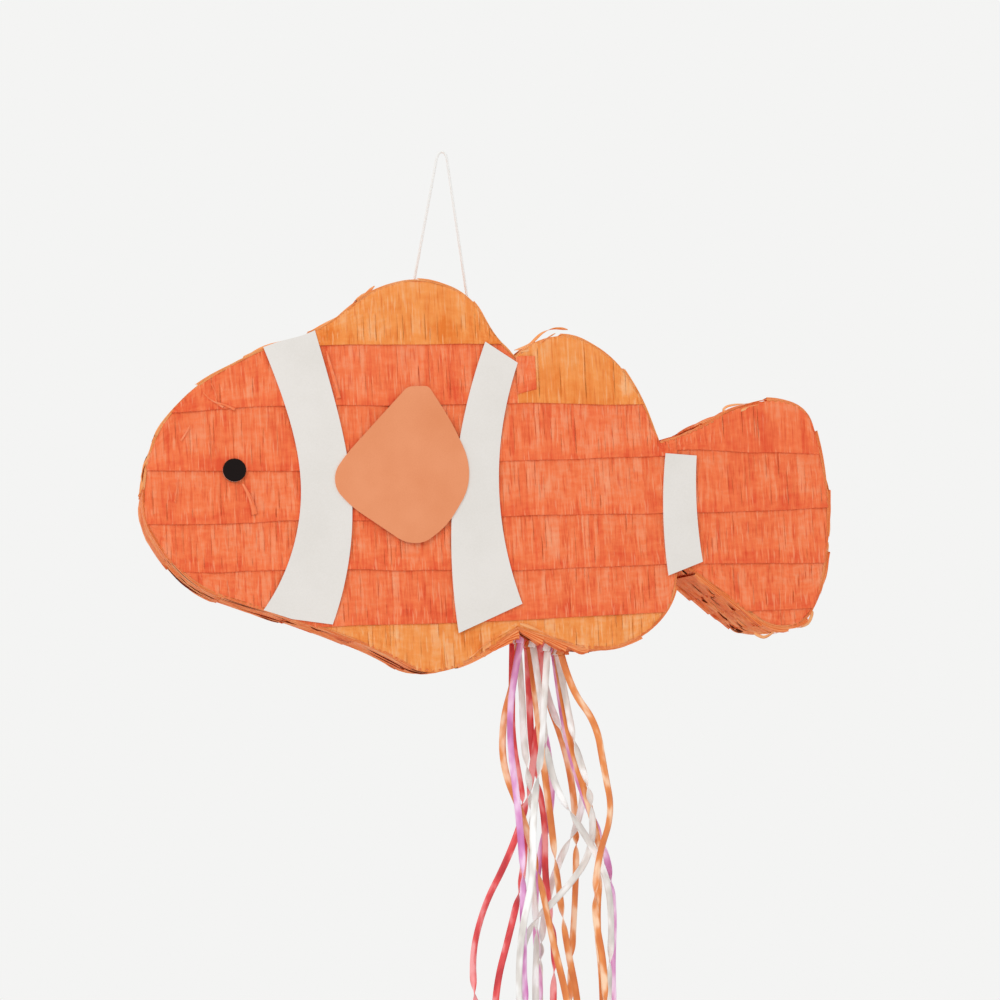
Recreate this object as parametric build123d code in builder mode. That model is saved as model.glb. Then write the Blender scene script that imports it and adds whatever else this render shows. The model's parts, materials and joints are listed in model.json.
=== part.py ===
from build123d import *
import math
import os

# A fish-shaped pull-ribbon pinata that hangs from a string.
# Millimetres, +Z up, front face towards -Y, nose towards -X, tail towards +X.
# The origin is the centre of the hook that the hanging string runs over.

os.makedirs("parts", exist_ok=True)

# ---- Driving dimensions ----
shell_depth = 90.0          # over the two face panels
card = 2.0                  # corrugated card of panels, walls, door and flap
edge_fringe = 2.0           # crepe fringe around the edge of the shell
row_thin = 0.8              # fringe row at its glued top edge
row_thick = 2.4             # fringe row at its free lower edge
row_gap = 0.1               # between one strip and the next
trim_card = 1.0             # thin card of stripes, fins and eyes
running_gap = 0.5           # around the filling flap and the release door

# The glued fold lines of the fringe rows, from the back down to the belly.
fold_lines = [-145.5, -190.0, -232.5, -272.0, -310.0, -347.5]
tail_split = 156.0          # the tail has its own fringe rows behind this line

# Outline corners: two notches on top, two below.
top_notch = (40, -159)
tail_top_notch = (143, -225)
tail_low_notch = (152, -307)
belly_notch = (32, -352)
nose = (-230, -249)
slope_end = (78, -368)      # lower end of the straight slope that holds the release door

# Release door in the slope behind the belly notch.
door_start = 3.5            # from the notch, along the slope
door_length = 41.5
door_width = 56.0
opening_depth = 12.0        # of the cutter, through wall and fringe

# Filling flap in the back face, two fringe rows tall.
flap_width = 84.0
flap_centre_x = 88.0
flap_rows = range(2, 4)     # the fringe rows that it covers

# Hanging string: one loop through two holes in the back of the fish.
string_diameter = 2.0
string_sides = 8            # of its cross-section
hook_radius = 2.0           # of the nail or hook that carries the loop
string_hole_radius = 1.8
string_proud = 2.5          # pivot of each strand, above the fringe
string_socket = 1.3         # strand ends are hollowed to this radius around the pivot line
front_hole_at = 0.7455      # share of the edge from nose to top notch
rear_hole_at = 0.864
knot_radius = 3.5           # of the six-sided knot at each end of the string
knot_chamfer = 1.2
patch_margin = 14.0         # card patch inside, beyond each string hole
patch_width = 60.0

# Pull ribbons.
ribbon_width = 5.0
ribbon_thickness = 0.4
lane_pitch = 3.0            # each ribbon hangs in its own plane, from front to back
row_count = 4
row_margin = 5.75           # from the first and last ribbon row to the door opening's ends
ribbon_knot_radius = 3.0    # a flat ribbon ties into a five-sided knot
ribbon_knot_depth = 2.2
ribbon_tail = 5.0           # end of each ribbon inside the shell
slit_clearance = 0.3
knot_gap = 0.3              # between a ribbon and its knot
seat_gap = 0.1              # between a knot and the door's fringe

# Stripes: each has two bowed edges, given by points from their top to their foot.
head_stripe_edges = (((-146, -135), (-128, -189), (-119.5, -250), (-124.5, -282), (-152, -336)),
                     ((-106, -130), (-92, -189), (-83.5, -262), (-90, -311), (-101, -345)))
middle_stripe_edges = (((18, -146), (-10, -250), (-11, -355)), ((41, -162), (23, -262), (36, -336)))
tail_stripe_edges = (((147, -231), (143, -275), (144.5, -320)), ((170, -233.5), (168, -272), (170.5, -311)))

# Fins and eyes.
fin_corners = [(-31, -177), (-25, -177), (-9, -204), (2, -231), (1, -252), (-15, -277), (-33, -290),
               (-47, -289), (-84, -262), (-95, -249), (-95, -236), (-85, -223), (-40, -177), (-33, -177)]
eye_diameter = 16.5
eye_sides = 36
eye_place = (-166, -233)

# ---- Sizes worked out from the driving dimensions ----
half_depth = shell_depth / 2
trim_level = half_depth + row_thick
fin_level = trim_level + trim_card
far = 320.0                 # beyond the fish in every direction
string_radius = string_diameter / 2

def smooth_radii(points, share=0.48):
    """The radius for each corner of a route: share of its shorter run, over the tangent of half its turn."""
    radii = []
    for before, corner, after in zip(points, points[1:], points[2:]):
        run_in = Vector(*corner) - Vector(*before)
        run_out = Vector(*after) - Vector(*corner)
        half_turn = math.radians(run_in.get_angle(run_out)) / 2
        radii.append(share * min(run_in.length, run_out.length) / math.tan(half_turn))
    return radii


# ---- Outline of the card shell, drawn in x and z ----
head_corners = [nose, (-226, -222), (-215, -198), (-189, -171), (-140, -146), (-102, -138), (-62, -107),
                (-28, -98), (8, -111), (24, -142), top_notch]
hump_corners = [top_notch, (58, -146), (82, -143), (112, -160), (132, -192), tail_top_notch]
tail_corners = [tail_top_notch, (168, -218), (204, -199), (232, -195), (255, -202), (266, -243), (267, -286),
                (259, -332), (246, -358), (221, -361), tail_low_notch]
rear_corners = [tail_low_notch, (147, -337), (133, -356), (106, -370), slope_end]
front_corners = [belly_notch, (9, -367), (-10, -377), (-36, -382), (-66, -364), (-120, -341), (-191, -316),
                 (-214, -294), (-229, -268), nose]

with BuildSketch() as card_outline:
    with BuildLine() as outline_line:
        back_of_head = FilletPolyline(*head_corners, radius=smooth_radii(head_corners))
        FilletPolyline(*hump_corners, radius=smooth_radii(hump_corners))
        FilletPolyline(*tail_corners, radius=smooth_radii(tail_corners))
        FilletPolyline(*rear_corners, radius=smooth_radii(rear_corners))
        Line(slope_end, belly_notch)
        FilletPolyline(*front_corners, radius=smooth_radii(front_corners))
    make_face()

with BuildSketch() as cover_outline:
    add(card_outline.sketch_local)
    offset(amount=edge_fringe, kind=Kind.ARC)

with BuildSketch() as inner_outline:
    add(card_outline.sketch_local)
    offset(amount=-card, kind=Kind.ARC)

with BuildSketch() as patch_outline:
    add(card_outline.sketch_local)
    offset(amount=-2 * card, kind=Kind.ARC)


def area(*corners):
    """A closed polygon in x and z, used to choose a part of the outline."""
    with BuildSketch() as region:
        with BuildLine():
            Polyline(*corners, close=True)
        make_face()
    return region.sketch_local


# The strips of card and fringe around the edge meet at the notches and the nose.
middle_z = (top_notch[1] + belly_notch[1]) / 2
edge_areas = {
    "head": area(nose, (-far, nose[1]), (-far, 0), (top_notch[0], 0), top_notch, (top_notch[0], middle_z),
                 (nose[0] / 2, middle_z), (nose[0] / 2, nose[1])),
    "rear_hump": area(top_notch, (top_notch[0], 0), (tail_top_notch[0], 0), tail_top_notch,
                      (tail_top_notch[0], middle_z), (top_notch[0], middle_z)),
    "tail": area((tail_top_notch[0], 0), (far, 0), (far, -far - 100), (tail_low_notch[0], -far - 100),
                 (tail_low_notch[0], middle_z), (tail_top_notch[0], middle_z)),
    "rear_belly": area((tail_low_notch[0], middle_z), (tail_low_notch[0], -far - 100),
                       (belly_notch[0], -far - 100), (belly_notch[0], middle_z)),
    "front_belly": area((belly_notch[0], middle_z), (belly_notch[0], -far - 100), (-far, -far - 100),
                        (-far, nose[1]), (nose[0] / 2, nose[1]), (nose[0] / 2, middle_z)),
}


def keep(piece, label):
    """Name a finished piece and write it."""
    piece.part.label = label
    export_step(piece.part, f"parts/{label}.step")


def layer(side, level):
    """Sketch plane of a layer this far from the middle plane; side is 1 in front and -1 behind."""
    return Plane.XZ.offset(side * level)


# ---- Fringe rows: each strip is thin where it is glued and stands off at its lower fold line ----
def fringe_rows(label, side, bands, region, cut=None):
    """The strips between each band's glued top and free fold line, within a region of one face."""
    glued = -side * half_depth
    with BuildPart() as rows:
        for top, bottom in bands:
            with BuildSketch(Plane.YZ.offset(-far)):
                with BuildLine():
                    Polyline((glued, top - row_gap), (glued - side * row_thin, top - row_gap),
                             (glued - side * row_thick, bottom), (glued, bottom), close=True)
                make_face()
            extrude(amount=2 * far)
        with BuildSketch(layer(side, half_depth)):
            add(cover_outline.sketch_local)
            add(region, mode=Mode.INTERSECT)
            if cut is not None:
                add(cut, mode=Mode.SUBTRACT)
        extrude(amount=side * row_thick, mode=Mode.INTERSECT)
    keep(rows, label)


top_of_fish = -98.0
bottom_of_fish = -384.0
fish_body = area((-far, 0), (tail_split, 0), (tail_split, -far - 100), (-far, -far - 100))
tail_area = area((tail_split, 0), (far, 0), (far, -far - 100), (tail_split, -far - 100))
head_area = area((-far, 0), (top_notch[0], 0), (top_notch[0], -far), (-far, -far))
hump_areas = area((-far, 0), (tail_split, 0), (tail_split, fold_lines[1]), (top_notch[0], fold_lines[1]),
                  (top_notch[0], fold_lines[0]), (-far, fold_lines[0]))

flap_left = flap_centre_x - flap_width / 2
flap_right = flap_centre_x + flap_width / 2
flap_top = fold_lines[flap_rows.start]
flap_bottom = fold_lines[flap_rows.stop]
flap_opening = area((flap_left - running_gap, flap_top), (flap_right + running_gap, flap_top),
                    (flap_right + running_gap, flap_bottom), (flap_left - running_gap, flap_bottom))
flap_area = area((flap_left, flap_top - running_gap), (flap_right, flap_top - running_gap),
                 (flap_right, flap_bottom + running_gap), (flap_left, flap_bottom + running_gap))
row_bands = list(zip(fold_lines, fold_lines[1:]))

for side, face in ((1, "front"), (-1, "back")):
    fringe_rows(f"{face}_hump_fringe", side, [(top_of_fish, fold_lines[0]), row_bands[0]], hump_areas)
    fringe_rows(f"{face}_fringe_row_1", side, [row_bands[0]], head_area)
    for number, band in enumerate(row_bands[1:], start=2):
        hatched = side == -1 and number - 1 in flap_rows
        fringe_rows(f"{face}_fringe_row_{number}", side, [band], fish_body, flap_opening if hatched else None)
    fringe_rows(f"{face}_belly_fringe", side, [(fold_lines[-1], bottom_of_fish)], fish_body)
    fringe_rows(f"{face}_tail_fringe", side, [(top_of_fish, fold_lines[1])] + row_bands[1:]
                + [(fold_lines[-1], bottom_of_fish)], tail_area)


# ---- Face panels ----
with BuildPart() as front_panel:
    with BuildSketch(layer(1, half_depth - card)):
        add(card_outline.sketch_local)
    extrude(amount=card)
keep(front_panel, "front_panel")

with BuildPart() as back_panel:
    with BuildSketch(layer(-1, half_depth)):
        add(card_outline.sketch_local)
        add(flap_opening, mode=Mode.SUBTRACT)
    extrude(amount=card)
keep(back_panel, "back_panel")


# ---- Edge walls and their fringe, with the string holes and the release opening ----
def hole_plane(place):
    """Plane on the shell's surface at a share of the back of the head, facing out."""
    tangent = back_of_head % place
    point = back_of_head @ place
    return Plane(origin=(point.X, 0, point.Y), x_dir=(0, 1, 0), z_dir=(-tangent.Y, 0, tangent.X))


hole_planes = [hole_plane(front_hole_at), hole_plane(rear_hole_at)]

slope = Vector(slope_end[0] - belly_notch[0], 0, slope_end[1] - belly_notch[1]).normalized()
door_plane = Plane(origin=(belly_notch[0], 0, belly_notch[1]), x_dir=slope, z_dir=(slope.Z, 0, -slope.X))
door_centre = door_start + door_length / 2
slit_length = ribbon_width + 2 * slit_clearance
slit_width = ribbon_thickness + 2 * slit_clearance

# Ribbon name, row on the door, and the points that it hangs through, in x and z.
ribbon_routes = {
    "ribbon_orange_right": (3, [(73, -399), (91, -424), (95, -458), (100, -490), (87, -522), (82, -560),
                                (89, -605), (84, -665), (89, -722)]),
    "ribbon_white_left": (2, [(54, -403), (50, -444), (41, -488), (40, -532), (28, -574), (24, -622),
                              (28, -684), (24, -744)]),
    "ribbon_lilac_left": (0, [(31, -393), (27, -433), (31, -477), (33, -523), (31, -568), (29, -618),
                              (36, -682), (33, -742)]),
    "ribbon_white_right": (1, [(52, -399), (54, -436), (60, -472), (80, -504), (96, -536), (97, -578),
                               (90, -628), (94, -690), (90, -748)]),
    "ribbon_orange_left": (0, [(34, -390), (24, -418), (22, -454), (36, -490), (46, -535), (53, -580),
                               (63, -628), (67, -690), (73, -748)]),
    "ribbon_white_crossing": (3, [(72, -404), (77, -440), (88, -478), (87, -518), (64, -546), (34, -570),
                                  (26, -614), (29, -678), (25, -740)]),
    "ribbon_orange_middle": (3, [(70, -405), (75, -443), (86, -483), (94, -523), (87, -565), (90, -615),
                                 (86, -678), (91, -736)]),
    "ribbon_white_middle": (0, [(41, -396), (40, -438), (45, -483), (41, -528), (44, -573), (39, -623),
                                (43, -687), (41, -748)]),
    "ribbon_orange_inner": (1, [(51, -400), (54, -444), (58, -490), (61, -536), (65, -582), (73, -632),
                                (71, -694), (75, -754)]),
    "ribbon_lilac_right": (3, [(70, -403), (74, -439), (84, -479), (100, -520), (103, -564), (98, -613),
                               (101, -676), (97, -738)]),
    "ribbon_red_left": (2, [(56, -403), (50, -443), (42, -483), (26, -521), (5, -556), (-6, -598),
                            (2, -660), (2, -722)]),
    "ribbon_red_middle": (1, [(48, -401), (48, -447), (56, -493), (53, -539), (59, -584), (54, -634),
                              (57, -696), (53, -754)]),
    "ribbon_lilac_middle": (1, [(52, -398), (61, -440), (63, -481), (51, -518), (44, -560), (47, -611),
                                (42, -675), (45, -736)]),
    "ribbon_white_back": (2, [(61, -398), (72, -431), (88, -459), (84, -495), (65, -525), (52, -563),
                              (46, -612), (47, -676), (42, -736)]),
    "ribbon_red_inner": (0, [(37, -395), (35, -435), (42, -480), (41, -526), (28, -572), (13, -618),
                             (10, -682), (13, -742)]),
    "ribbon_orange_back": (2, [(62, -401), (75, -439), (81, -481), (80, -525), (76, -569), (70, -618),
                               (72, -680), (69, -740)]),
}
lane_offset = (len(ribbon_routes) - 1) / 2
row_pitch = (door_length - 2 * row_margin) / (row_count - 1)
row_places = [door_start + row_margin + row * row_pitch for row in range(row_count)]
knot_level = edge_fringe + ribbon_knot_radius + seat_gap


def ribbon_spots(row=None):
    """Place along the slope and lane of each ribbon, for one row or for all."""
    spots = []
    for number, (own_row, _) in enumerate(ribbon_routes.values()):
        if row is None or own_row == row:
            spots.append((row_places[own_row], -(number - lane_offset) * lane_pitch))
    return spots


def string_holes():
    """Cut the two holes for the hanging string through the piece that is being made."""
    for plane in hole_planes:
        with Locations(plane.location):
            Cylinder(string_hole_radius, opening_depth, mode=Mode.SUBTRACT)


def release_opening():
    """Cut the opening for the release door through the piece that is being made."""
    with Locations(door_plane.location):
        with Locations((door_centre, 0, 0)):
            Box(door_length, door_width + 2 * running_gap, opening_depth, mode=Mode.SUBTRACT)


def edge_piece(label, outer, inner, region, depth, cut=None):
    """A strip of card or fringe around one stretch of the edge, with whatever is cut through it."""
    with BuildPart() as strip:
        with BuildSketch(layer(1, -depth / 2)):
            add(outer.sketch_local)
            add(inner.sketch_local, mode=Mode.SUBTRACT)
            add(region, mode=Mode.INTERSECT)
        extrude(amount=depth)
        if cut is not None:
            cut()
    keep(strip, label)


edge_cuts = {"head": string_holes, "rear_belly": release_opening}
for name, region in edge_areas.items():
    cut = edge_cuts.get(name)
    edge_piece(f"{name}_wall", card_outline, inner_outline, region, shell_depth - 2 * card, cut)
    edge_piece(f"{name}_edge_fringe", cover_outline, card_outline, region, shell_depth, cut)

with BuildPart() as string_patch:
    patch_left = hole_planes[0].origin.X - patch_margin
    patch_right = hole_planes[1].origin.X + patch_margin
    with BuildSketch(layer(1, -patch_width / 2)):
        add(inner_outline.sketch_local)
        add(patch_outline.sketch_local, mode=Mode.SUBTRACT)
        add(area((patch_left, 0), (patch_right, 0), (patch_right, middle_z), (patch_left, middle_z)),
            mode=Mode.INTERSECT)
    extrude(amount=patch_width)
    string_holes()
keep(string_patch, "string_patch")


# ---- Hanging string: a loop over the hook, and its two knotted ends inside ----
pivot_level = edge_fringe + string_proud
pivots = [plane.from_local_coords((0, 0, pivot_level)) for plane in hole_planes]
over_hook = hook_radius + string_radius
swing_line = (pivots[1] - pivots[0]).normalized()
pivot_planes = [Plane(origin=pivot, z_dir=swing_line) for pivot in pivots]
knot_height = 2 * knot_radius

with BuildPart() as hanging_string:
    with BuildLine():
        string_path = FilletPolyline(pivots[0], (-over_hook, 0, over_hook), (over_hook, 0, over_hook),
                                     pivots[1], radius=over_hook)
    with BuildSketch(Plane(origin=pivots[0], z_dir=string_path % 0)):
        RegularPolygon(string_radius, string_sides)
    sweep()
    string_length = string_path.length
    string_volume = hanging_string.part.volume
    string_area = string_sides / 2 * string_radius ** 2 * math.sin(2 * math.pi / string_sides)
    with Locations(*[plane.location for plane in pivot_planes]):
        Cylinder(string_socket, 3 * string_diameter, mode=Mode.SUBTRACT)
keep(hanging_string, "hanging_string")
print(f"hanging_string: radius {over_hook:.1f}, length {string_length:.1f},",
      f"volume {string_volume:.1f} of {string_area * string_length:.1f}")

with BuildPart() as string_knots:
    for plane, pivot_plane in zip(hole_planes, pivot_planes):
        with BuildSketch(plane.offset(-2 * card - knot_height)):
            RegularPolygon(knot_radius, 6)
        extrude(amount=knot_height)
        chamfer(string_knots.edges(Select.LAST), knot_chamfer)
        with BuildSketch(plane.offset(-2 * card)):
            Circle(string_radius)
        extrude(amount=pivot_level + 2 * card)
        with Locations(pivot_plane.location):
            Cylinder(string_radius, string_diameter)
keep(string_knots, "string_knots")


# ---- Filling flap in the back face ----
with BuildPart() as filling_flap:
    with BuildSketch(layer(-1, half_depth)):
        add(flap_area)
    extrude(amount=card)
keep(filling_flap, "filling_flap")
fringe_rows("filling_flap_fringe", -1, row_bands[flap_rows.start:flap_rows.stop], flap_area)


# ---- Release door under the belly, its fringe, and the ribbon knots that hang from it ----
def door_layer(label, low, high):
    """A plate in the door opening between two levels over the slope, with a slit for each ribbon."""
    with BuildPart() as plate:
        with Locations(door_plane.location):
            with Locations((door_centre, 0, (low + high) / 2)):
                Box(door_length - 2 * running_gap, door_width, high - low)
            with Locations(*[(place, lane, (low + high) / 2) for place, lane in ribbon_spots()]):
                Box(slit_length, slit_width, 2 * (high - low), mode=Mode.SUBTRACT)
    keep(plate, label)


door_layer("release_door", -card, 0)
door_layer("release_door_fringe", 0, edge_fringe)

with BuildPart() as ribbon_knots:
    for place, lane in ribbon_spots():
        knot = door_plane.from_local_coords((place, lane, knot_level))
        with BuildSketch(Plane(origin=knot, x_dir=slope, z_dir=(0, 1, 0))):
            RegularPolygon(ribbon_knot_radius, 5)
        extrude(amount=ribbon_knot_depth / 2, both=True)
        with BuildSketch(Plane(origin=knot, x_dir=slope, z_dir=door_plane.z_dir)):
            Rectangle(ribbon_width, ribbon_thickness)
        extrude(amount=-(knot_level + card + ribbon_tail))
keep(ribbon_knots, "ribbon_knots")


# ---- Pull ribbons: flat bands, each in its own plane ----
for (label, (row, points)), (place, lane) in zip(ribbon_routes.items(), ribbon_spots()):
    knot = door_plane.from_local_coords((place, lane, knot_level))
    top = knot - Vector(0, 0, ribbon_knot_radius + knot_gap)
    route = [(top.X, top.Y, top.Z)] + [(x, top.Y, z) for x, z in points]
    radii = smooth_radii(route, share=0.3)
    with BuildPart() as ribbon:
        with BuildLine():
            ribbon_path = FilletPolyline(*route, radius=radii)
        with BuildSketch(Plane(origin=top, x_dir=(0, 1, 0), z_dir=ribbon_path % 0)):
            Rectangle(ribbon_thickness, ribbon_width)
        sweep()
    keep(ribbon, label)
    expected = ribbon_width * ribbon_thickness * ribbon_path.length
    print(f"{label}: radii {min(radii):.0f} to {max(radii):.0f}, length {ribbon_path.length:.0f},",
          f"volume {ribbon.part.volume:.1f} of {expected:.1f}")


# ---- Card trim: three white stripes, a fin and an eye on each face ----
def card_trim(label, side, level, *outlines):
    """Flat shapes of thin card, side by side on one face."""
    with BuildPart() as trim:
        for outline in outlines:
            with BuildSketch(layer(side, level)):
                add(outline)
            extrude(amount=side * trim_card)
    keep(trim, label)


def stripe(left_edge, right_edge, region=None):
    """A stripe between two bowed edges, each given by points from its top to its foot, trimmed to a region."""
    with BuildSketch() as shape:
        with BuildLine():
            Spline(*left_edge)
            Line(left_edge[-1], right_edge[-1])
            Spline(*right_edge)
            Line(right_edge[0], left_edge[0])
        make_face()
        if region is not None:
            add(region, mode=Mode.INTERSECT)
    return shape.sketch_local


head_stripe = stripe(*head_stripe_edges, cover_outline.sketch_local)
middle_stripe = stripe(*middle_stripe_edges, cover_outline.sketch_local)
tail_stripe = stripe(*tail_stripe_edges)

with BuildSketch() as fin_shape:
    with BuildLine():
        FilletPolyline(*fin_corners, radius=smooth_radii(fin_corners))
        Line(fin_corners[-1], fin_corners[0])
    make_face()

with BuildSketch() as eye_shape:
    with Locations(eye_place):
        RegularPolygon(eye_diameter / 2, eye_sides)

card_trim("front_head_stripe", 1, trim_level, head_stripe)
card_trim("front_middle_stripe", 1, trim_level, middle_stripe)
card_trim("front_tail_stripe", 1, trim_level, tail_stripe)
card_trim("back_stripes", -1, trim_level, head_stripe, middle_stripe, tail_stripe)
card_trim("front_fin", 1, fin_level, fin_shape.sketch_local)
card_trim("back_fin", -1, fin_level, fin_shape.sketch_local)
card_trim("front_eye", 1, trim_level, eye_shape.sketch_local)
card_trim("back_eye", -1, trim_level, eye_shape.sketch_local)
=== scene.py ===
"""A fish-shaped pull-ribbon pinata of card and crepe paper fringe, in metres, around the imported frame."""
import json

import bpy
import numpy as np
from mathutils import Matrix, Vector


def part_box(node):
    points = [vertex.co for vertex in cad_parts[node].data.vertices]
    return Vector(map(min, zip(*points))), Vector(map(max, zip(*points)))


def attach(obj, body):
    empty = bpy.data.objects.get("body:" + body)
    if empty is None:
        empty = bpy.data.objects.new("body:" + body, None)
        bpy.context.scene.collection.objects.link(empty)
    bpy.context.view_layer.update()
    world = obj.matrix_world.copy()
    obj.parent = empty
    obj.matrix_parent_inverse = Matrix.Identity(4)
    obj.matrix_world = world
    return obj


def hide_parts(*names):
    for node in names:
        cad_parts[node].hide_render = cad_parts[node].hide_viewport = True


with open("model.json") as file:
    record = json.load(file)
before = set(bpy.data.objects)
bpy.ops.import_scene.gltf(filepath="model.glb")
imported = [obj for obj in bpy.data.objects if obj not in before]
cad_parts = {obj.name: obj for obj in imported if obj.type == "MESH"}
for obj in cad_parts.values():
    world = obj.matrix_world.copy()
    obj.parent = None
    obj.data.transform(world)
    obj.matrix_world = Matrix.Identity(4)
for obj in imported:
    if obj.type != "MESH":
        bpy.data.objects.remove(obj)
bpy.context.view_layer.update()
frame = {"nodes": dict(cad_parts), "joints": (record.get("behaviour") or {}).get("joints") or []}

mm = 0.001

# ---- Sizes taken from the frame ----
panel_low, panel_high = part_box("front_panel")
flap_low, flap_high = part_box("filling_flap")
door_low, door_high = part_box("release_door")
half_depth = -panel_low.y
joints = {joint["name"]: joint for joint in frame["joints"]}
row_pivots = [np.array(joints[f"ribbon_row_{row}_hang"]["pos_m"]) for row in (1, 2, 3, 4)]


# ======== Meshes ========

def put_in_scene(name, data):
    """A new object that shows the data, at the origin."""
    shown = bpy.data.objects.new(name, data)
    bpy.context.scene.collection.objects.link(shown)
    return shown


def make_piece(name, points, faces, body, material, replaced=(), uv=None, tone=None):
    """A smooth mesh piece from arrays, riding on a body. uv and tone hold one row for each point."""
    mesh = bpy.data.meshes.new(name)
    mesh.from_pydata(points, [], faces)
    corners = np.empty(len(mesh.loops), int)
    mesh.loops.foreach_get("vertex_index", corners)
    if uv is not None:
        mesh.uv_layers.new(name="paper").data.foreach_set("uv", uv[corners].ravel())
    if tone is not None:
        mesh.attributes.new("tone", "FLOAT", "POINT").data.foreach_set("value", tone)
    mesh.polygons.foreach_set("use_smooth", np.ones(len(mesh.polygons), bool))
    mesh.materials.append(material)
    mesh.update()
    piece = put_in_scene(name, mesh)
    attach(piece, body)
    if replaced:
        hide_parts(*replaced)
    return piece


def piece_of_parts(name, parts, body, material, replaced=()):
    """One piece from several (points, faces, uv, tone), whose faces are renumbered."""
    all_points, all_faces, all_uv, all_tone = zip(*parts)
    starts = np.cumsum([0] + [len(points) for points in all_points[:-1]])
    faces = np.concatenate([own + start for own, start in zip(all_faces, starts)])
    return make_piece(name, np.concatenate(all_points), faces, body, material, replaced,
                      np.concatenate(all_uv), np.concatenate(all_tone))


def grid_faces(number, over=False):
    """Four-cornered faces between neighbours on a grid of point numbers, turned over where asked."""
    a, b = number[..., :-1, :-1], number[..., 1:, :-1]
    c, d = number[..., 1:, 1:], number[..., :-1, 1:]
    return np.stack([a, d, c, b] if over else [a, b, c, d], -1).reshape(-1, 4)


def flipped(strip):
    """The same strip with its faces turned over."""
    points, faces, uv, tone = strip
    return points, faces[:, ::-1], uv, tone


def thicken(piece, name, thickness):
    """Gives a sheet its thickness, half of it on each side."""
    wall = piece.modifiers.new(name, "SOLIDIFY")
    wall.thickness = thickness
    wall.offset = 0


def smooth_step(value):
    """3 v^2 - 2 v^3, with v held between 0 and 1."""
    v = np.clip(value, 0, 1)
    return v * v * (3 - 2 * v)


# ======== The fish's outline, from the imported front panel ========

flat_within = 0.01 * mm         # how far a corner of a panel's front may lie behind its foremost one
search_places = 6000            # places tried along the outline, about a quarter of a millimetre apart
loop_places = 900               # corners of a loop that is moved out from the outline


def panel_outline(node):
    """The corners of a panel's front face in order, as x and z, counter-clockwise from the front: they follow
    the edges that only one of the front's triangles has."""
    mesh = frame["nodes"][node].data
    mesh.calc_loop_triangles()
    places = np.empty(len(mesh.vertices) * 3)
    mesh.vertices.foreach_get("co", places)
    corners = np.empty(len(mesh.loop_triangles) * 3, int)
    mesh.loop_triangles.foreach_get("vertices", corners)
    points, number = np.unique(np.round(places.reshape(-1, 3), 6), axis=0, return_inverse=True)
    triangles = number.ravel()[corners].reshape(-1, 3)
    front = triangles[(points[triangles, 1] < points[:, 1].min() + flat_within).all(1)]
    edges = {(int(a), int(b)) for t in front for a, b in ((t[0], t[1]), (t[1], t[2]), (t[2], t[0]))}
    following = {a: b for a, b in edges if (b, a) not in edges}
    start = min(following, key=lambda corner: points[corner, 0])
    order = [start]
    while following[order[-1]] != start:
        order.append(following[order[-1]])
    loop = points[order][:, [0, 2]]
    ahead = np.roll(loop, -1, 0)
    area = (loop[:, 0] * ahead[:, 1] - ahead[:, 0] * loop[:, 1]).sum()
    return loop if area > 0 else loop[::-1]


outline = panel_outline("front_panel")      # down the head, along the belly and up the tail
closed = np.vstack([outline, outline[:1]])
run = np.concatenate([[0], np.cumsum(np.hypot(*np.diff(closed, axis=0).T))])
perimeter = run[-1]


def outline_point(s):
    """Point of the outline at arc length s."""
    s = np.mod(s, perimeter)
    return np.stack([np.interp(s, run, closed[:, 0]), np.interp(s, run, closed[:, 1])], -1)


def outline_normal(s, reach=4 * mm):
    """Outward unit normal at s: the chord over the reach on both sides, turned clockwise by a right angle."""
    chord = outline_point(s + reach) - outline_point(s - reach)
    chord /= np.linalg.norm(chord, axis=-1, keepdims=True)
    return np.stack([chord[..., 1], -chord[..., 0]], -1)


def outline_place(x, z):
    """Arc length of the outline's point nearest to (x, z)."""
    s = np.linspace(0, perimeter, search_places, endpoint=False)
    return s[np.argmin(np.hypot(*(outline_point(s) - (x, z)).T))]


def loop_beyond(distance):
    """The outline moved outwards by a distance."""
    s = np.linspace(0, perimeter, loop_places, endpoint=False)
    return outline_point(s) + distance * outline_normal(s)


def height_range(loop, x):
    """Lowest and highest z of a closed loop at each x: its crossings with the vertical line there."""
    ahead = np.roll(loop, -1, 0)
    x1, z1, x2, z2 = loop[:, 0], loop[:, 1], ahead[:, 0], ahead[:, 1]
    across = (x1 <= x[:, None]) != (x2 <= x[:, None])
    run_x = np.where(x2 == x1, 1, x2 - x1)
    z = z1 + (x[:, None] - x1) / run_x * (z2 - z1)
    return np.where(across, z, np.inf).min(1), np.where(across, z, -np.inf).max(1)


def inside_loop(loop, x, z):
    """True where (x, z) lies in a closed loop: an odd number of its edges cross the ray to the right."""
    ahead = np.roll(loop, -1, 0)
    odd = np.zeros(x.shape, bool)
    for (x1, z1), (x2, z2) in zip(loop, ahead):
        if z1 != z2:
            odd ^= ((z1 > z) != (z2 > z)) & (x < (x2 - x1) * (z - z1) / (z2 - z1) + x1)
    return odd


trim_margin = 1.3 * mm          # the face fringe is trimmed this far outside the card
face_loop = loop_beyond(trim_margin)


def distance_inside(x, z):
    """Distance from (x, z) to the trimmed edge of the face fringe, measured to every third of its corners."""
    best = np.full(x.shape, np.inf)
    for px, pz in face_loop[::3]:
        best = np.minimum(best, (x - px) ** 2 + (z - pz) ** 2)
    return np.sqrt(best)


# ======== Finishes ========

def linear(hex_colour):
    """Linear RGBA of an sRGB hex colour: c/12.92 below 0.04045, else ((c + 0.055)/1.055)^2.4."""
    channels = [int(hex_colour[i:i + 2], 16) / 255 for i in (1, 3, 5)]
    return tuple(c / 12.92 if c <= 0.04045 else ((c + 0.055) / 1.055) ** 2.4 for c in channels) + (1.0,)


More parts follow.
